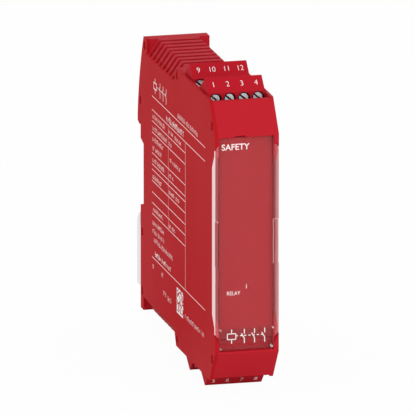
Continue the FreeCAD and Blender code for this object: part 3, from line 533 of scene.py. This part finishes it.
def word_strokes(a0, a1, b, height, weight, seed):
    """Text too small to read, as strokes: evenly spaced stems, some joined by a short bar.

    Stem i stands at a0 + i * pitch.  Seeded draws set whether it is left out, as between words,
    whether it is short, and whether a bar joins it to its neighbour, at the foot, middle or top.
    """
    rng = np.random.default_rng(SEED + seed)
    pitch = STEM_PITCH * height
    count = max(2, int((a1 - a0) / pitch))
    left = a0 + pitch * np.arange(count)
    shown = rng.random(count) > GAP_SHARE
    tall = np.where(rng.random(count) > SHORT_SHARE, height, SHORT_STEM * height)
    stems = np.stack([left, left + weight, np.full(count, b), b + tall], 1)[shown]
    level = rng.choice(BAR_LEVELS, count) * height
    joined = shown & (rng.random(count) > LOOSE_SHARE)
    bars = np.stack([left, left + pitch, b + level, b + level + weight], 1)[joined]
    return np.concatenate([stems, bars])


def text_block(name, rows, weight, seed, made):
    """Rows of unreadable text on the side wall: (left, right, foot, height of the letters)."""
    words = [word_strokes(*row, weight, seed + i) for i, row in enumerate(rows)]
    quad_piece(name, bar_quads(np.concatenate(words)), SIDE, made)


def code_cells(a0, a1, b0, b1, count, seed):
    """Cells of a chequered patch: a seeded draw fills about half of a count x count grid."""
    rng = np.random.default_rng(SEED + seed)
    i, j = np.nonzero(rng.random((count, count)) > 0.5)
    w = (a1 - a0) / count
    h = (b1 - b0) / count
    return np.stack([a0 + i * w, a0 + (i + 1) * w, b0 + j * h, b0 + (j + 1) * h], 1)


def contact_symbol(a, low, high):
    """Lead, open blade and lead, one above the other at a."""
    rise = (high - low) / 3
    return [(a, low, a, low + rise), (a, low + rise, a - BLADE_LEAN * rise, low + BLADE_TIP * rise),
            (a, low + 2 * rise, a, high)]


def relay_symbol(coil, leads, contacts, link):
    """Circuit symbol of a relay, as lines.

    coil is the coil's box (a0, a1, b0, b1) and leads the heights where its leads and the contacts'
    begin and end.  A broken line, link = (end, height, count), joins the coil to the contacts: count
    dashes, as long as the gaps between them.
    """
    a0, a1, b0, b1 = coil
    low, high = leads
    middle = (a0 + a1) / 2
    lines = [(a0, b0, a1, b0), (a1, b0, a1, b1), (a1, b1, a0, b1), (a0, b1, a0, b0)]
    lines += [(middle, low, middle, b0), (middle, b1, middle, high)]
    end, height, count = link
    step = (end - a1) / (2 * count - 1)
    lines += [(a1 + 2 * i * step, height, a1 + (2 * i + 1) * step, height) for i in range(count)]
    for a in contacts:
        lines += contact_symbol(a, low, high)
    return lines


def letter_piece(name, marks, body, weight=0.0):
    """White lettering as one mesh: marks are (text, size, centre, right, up).

    Each mark is centred on the middle of its outline; weight is added to both sides of its strokes.
    """
    points = []
    faces = []
    for text, size, centre, right, up in marks:
        curve = bpy.data.curves.new(name, "FONT")
        curve.body = text
        curve.size = size * FONT_SCALE
        curve.offset = weight
        holder = bpy.data.objects.new(name, curve)
        bpy.context.scene.collection.objects.link(holder)
        bpy.context.view_layer.update()
        mesh = bpy.data.meshes.new_from_object(holder)
        flat = np.zeros(len(mesh.vertices) * 3)
        mesh.vertices.foreach_get("co", flat)
        flat = flat.reshape(-1, 3)[:, :2]
        flat -= (flat.max(0) + flat.min(0)) / 2
        start = len(points)
        points += on_plane(flat, centre, right, up).tolist()
        faces += [[start + v for v in p.vertices] for p in mesh.polygons]
        bpy.data.objects.remove(holder)
        bpy.data.curves.remove(curve)
        bpy.data.meshes.remove(mesh)
    mesh_piece(name, points, faces, ink_white, body)


# Side wall: a data table between long rules.  Places are (distance in front of the rail, height) in mm.
RULE = 0.26
THIN_RULE = 0.6 * RULE
TABLE_LEFT = 16.8
TABLE_MIDDLE = 40.3
TABLE_RIGHT = 64.7
RULE_END = 92.8
LONG_RULES = [31.3, 26.4, -26.3]
ROW_RULES = [22.4, 18.4, 11.0, 7.0, 5.1, 1.1, -3.0, -6.8, -10.7]
side_rules = [(TABLE_LEFT, RULE_END, z - RULE / 2, z + RULE / 2) for z in LONG_RULES]
side_rules += [(TABLE_LEFT, TABLE_RIGHT, z - RULE / 2, z + RULE / 2) for z in ROW_RULES]
side_rules += [(TABLE_RIGHT - RULE / 2, TABLE_RIGHT + RULE / 2, LONG_RULES[2], LONG_RULES[1])]
side_rules += [(TABLE_MIDDLE - THIN_RULE / 2, TABLE_MIDDLE + THIN_RULE / 2, ROW_RULES[-1], LONG_RULES[1])]
quad_piece("side_table_rules", bar_quads(side_rules), SIDE, ink_pink)

SMALL = [
    (17.6, 36.5, 23.5, 1.7), (40.9, 47.3, 23.8, 1.5), (49.4, 59.0, 23.4, 1.5),
    (17.6, 38.4, 19.4, 1.7), (41.0, 45.8, 19.5, 1.5),
    (17.6, 33.2, 15.5, 1.7), (17.6, 30.8, 12.3, 1.7), (41.8, 57.6, 13.8, 1.5),
    (17.6, 34.5, 7.9, 1.7), (41.0, 47.5, 8.2, 1.5),
    (17.6, 30.8, 2.0, 1.7), (41.0, 56.4, 2.2, 1.5),
    (17.6, 33.5, -9.6, 1.7), (41.2, 50.0, -9.8, 1.5),
    (17.6, 34.8, -14.4, 1.7), (17.6, 34.8, -17.4, 1.7), (19.4, 47.4, -20.4, 1.8),
    (17.4, 20.0, -30.1, 1.5), (30.3, 34.2, -30.0, 1.7),
    (33.0, 38.0, -36.0, 1.9), (39.2, 45.4, -36.5, 1.9),
    (64.2, 92.8, -36.5, 1.8),
    (52.8, 82.4, 32.5, 1.7),
]
BOLD = [(37.4, 62.7, 27.4, 2.3), (21.2, 44.0, -25.1, 1.7)]
text_block("side_small_print", SMALL, SMALL_WEIGHT, SMALL_SEED, ink_pink)
text_block("side_bold_print", BOLD, BOLD_WEIGHT, BOLD_SEED, ink_white)

side_symbol = relay_symbol(coil=(19.2, 23.4, 34.6, 36.8), leads=(33.0, 38.4),
                           contacts=(28.4, 32.8, 37.2), link=(36.6, 35.9, 8))
quad_piece("side_circuit_symbol", line_quads(side_symbol, weight=0.4), SIDE, ink_white)

# A chequered data patch with a solid foot and left edge
PATCH = (53.0, 61.4, -36.6, -28.2)
PATCH_EDGE = 0.6
PATCH_CELLS = 12
left, right, foot, head = PATCH
patch = np.concatenate([code_cells(*PATCH, PATCH_CELLS, PATCH_SEED), [
    (left - PATCH_EDGE, left, foot, head),
    (left - PATCH_EDGE, right, foot - PATCH_EDGE, foot),
]])
quad_piece("side_data_patch", bar_quads(patch), SIDE, ink_white)

# Label behind the clear cover
LABEL_Y = LABEL["origin"][1]
NARROW = (0.84, 0, 0)    # condensed lettering
letter_piece("label_heading", [
    ("SAFETY", 2.15, (-3.5 * MM, LABEL_Y, 34.0 * MM), LABEL["right"], UP),
], "housing", weight=0.05)
letter_piece("label_lamp_words", [
    ("RELAY", 1.45, (-4.2 * MM, LABEL_Y, -17.65 * MM), NARROW, UP),
    ("1", 1.6, (0.31 * MM, LABEL_Y, -15.45 * MM), LABEL["right"], UP),
], "housing")
label_symbol = relay_symbol(coil=(-6.4, -3.4, -34.0, -32.0), leads=(-35.5, -30.5),
                            contacts=(-0.4, 3.2, 6.8), link=(6.2, -32.8, 7))
quad_piece("label_circuit_symbol", line_quads(label_symbol, weight=0.34), LABEL, ink_white)

# Terminal numbers on the sloped faces of the plugs.  A face runs from NUMBER_START in front of the
# crest to NUMBER_RUN in front of it, falling by NUMBER_FALL, or rising by it on the lower plugs.  The
# numbers sit at NUMBER_PLACE of the way.
NUMBER_START = 0.3 * MM
NUMBER_RUN = 3.9 * MM
NUMBER_FALL = 3.3 * MM
NUMBER_PLACE = 0.58
NUMBER_SIZE = 2.2
NUMBER_RIGHT = (0.88, 0, 0)
NUMBER_WEIGHT = -0.03
CONTACT_HALF = 1.35 * MM     # front of a plug's contacts to the plug's crest
FIRST_NUMBER = {"top_front": 1, "bottom_front": 5, "top_rear": 9, "bottom_rear": 13}
for place_name, first in FIRST_NUMBER.items():
    low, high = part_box("plug_" + place_name)
    crest_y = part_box("plug_contacts_" + place_name)[0].y + CONTACT_HALF
    sign = 1 if place_name.startswith("top") else -1
    crest_z = high.z if sign > 0 else low.z
    run = NUMBER_RUN - NUMBER_START
    down = Vector((0, -run, -sign * NUMBER_FALL))
    outward = Vector((0, -NUMBER_FALL, sign * run)).normalized()
    middle = Vector((0, crest_y - NUMBER_START, crest_z)) + down * NUMBER_PLACE + outward * INK
    up = down.normalized() * -sign
    marks = []
    for i in range(POLES):
        x = (i - (POLES - 1) / 2) * POLE_PITCH
        marks.append((str(first + i), NUMBER_SIZE, (x, middle.y, middle.z), NUMBER_RIGHT, up))
    letter_piece("numbers_" + place_name, marks, "plug_" + place_name, weight=NUMBER_WEIGHT)


# ---- floor, lights, camera -------------------------------------------------------------
FLOOR_HALF = 4.0
FLOOR_Z = cad_low.z - 0.2 * MM
FLOOR_SHARE = 0.965          # white that the floor shows; the rest of it takes light and shadow
SKY_LIGHT = 0.74             # strength of the sky as a light; seen, it is 1, which is white
LAMP_AIM = Vector((0, -0.05, 0))


def pale_floor():
    """Matt white studio sheet: shows near white to the camera and to reflections, and keeps the shadow."""
    made, tree, shader = finish("matt studio sheet", 0.9)
    shader.inputs["Base Color"].default_value = linear("#F2F2F2")
    share = math_node(tree, "MULTIPLY", seen_rays(tree), FLOOR_SHARE)
    glow = add(tree, "ShaderNodeEmission", {"Color": (1, 1, 1, 1), "Strength": 1.0})
    mixed = add(tree, "ShaderNodeMixShader", links={0: share, 1: shader.outputs[0], 2: glow.outputs[0]})
    tree.links.new(mixed.outputs[0], tree.nodes["Material Output"].inputs["Surface"])
    return made


def soft_lamp(name, spot, size, watts):
    """Square area lamp at spot, turned towards the middle of the module."""
    lamp = bpy.data.lights.new(name, "AREA")
    lamp.shape = "SQUARE"
    lamp.size = size
    lamp.energy = watts
    holder = bpy.data.objects.new(name, lamp)
    holder.location = spot
    aim = LAMP_AIM - Vector(spot)
    holder.rotation_mode = "QUATERNION"
    holder.rotation_quaternion = aim.to_track_quat("-Z", "Y")
    bpy.context.scene.collection.objects.link(holder)


floor_mesh = bpy.data.meshes.new("floor")
floor_corners = [(-FLOOR_HALF, -FLOOR_HALF, FLOOR_Z), (FLOOR_HALF, -FLOOR_HALF, FLOOR_Z),
                 (FLOOR_HALF, FLOOR_HALF, FLOOR_Z), (-FLOOR_HALF, FLOOR_HALF, FLOOR_Z)]
floor_mesh.from_pydata(floor_corners, [], [(0, 1, 2, 3)])
floor_mesh.materials.append(pale_floor())
floor = bpy.data.objects.new("floor", floor_mesh)
bpy.context.scene.collection.objects.link(floor)

soft_lamp("key", (0.25, -1.2, 0.35), size=1.0, watts=5.0)
soft_lamp("left fill", (-1.0, -0.35, 0.3), size=0.9, watts=1.85)
soft_lamp("top", (0.1, 0.2, 1.2), size=0.9, watts=0.5)

world = bpy.data.worlds.new("studio")
bpy.context.scene.world = world
world.use_nodes = True
sky = world.node_tree
ground = sky.nodes["Background"]
ground.inputs["Color"].default_value = (1, 1, 1, 1)
sky.links.new(ramp(sky, seen_rays(sky), 0, 1, SKY_LIGHT, 1.0), ground.inputs["Strength"])

AZIMUTH = math.radians(-14.0)
ELEVATION = math.radians(14.33)
VIEW_WIDTH = 143.3 * MM   # seen across the picture at the aim's distance
AIM = Vector((0, -51.06 * MM, -0.93 * MM))
back = Vector((math.sin(AZIMUTH) * math.cos(ELEVATION), -math.cos(AZIMUTH) * math.cos(ELEVATION),
               math.sin(ELEVATION)))
lens = bpy.data.cameras.new("camera")
lens.lens = 1500
lens.sensor_width = 36
lens.clip_end = 20
camera = bpy.data.objects.new("camera", lens)
camera.location = AIM + back * (VIEW_WIDTH * lens.lens / lens.sensor_width)
camera.rotation_mode = "QUATERNION"
camera.rotation_quaternion = (-back).to_track_quat("-Z", "Y")
bpy.context.scene.collection.objects.link(camera)
bpy.context.scene.camera = camera
bpy.context.scene.view_settings.view_transform = "Standard"
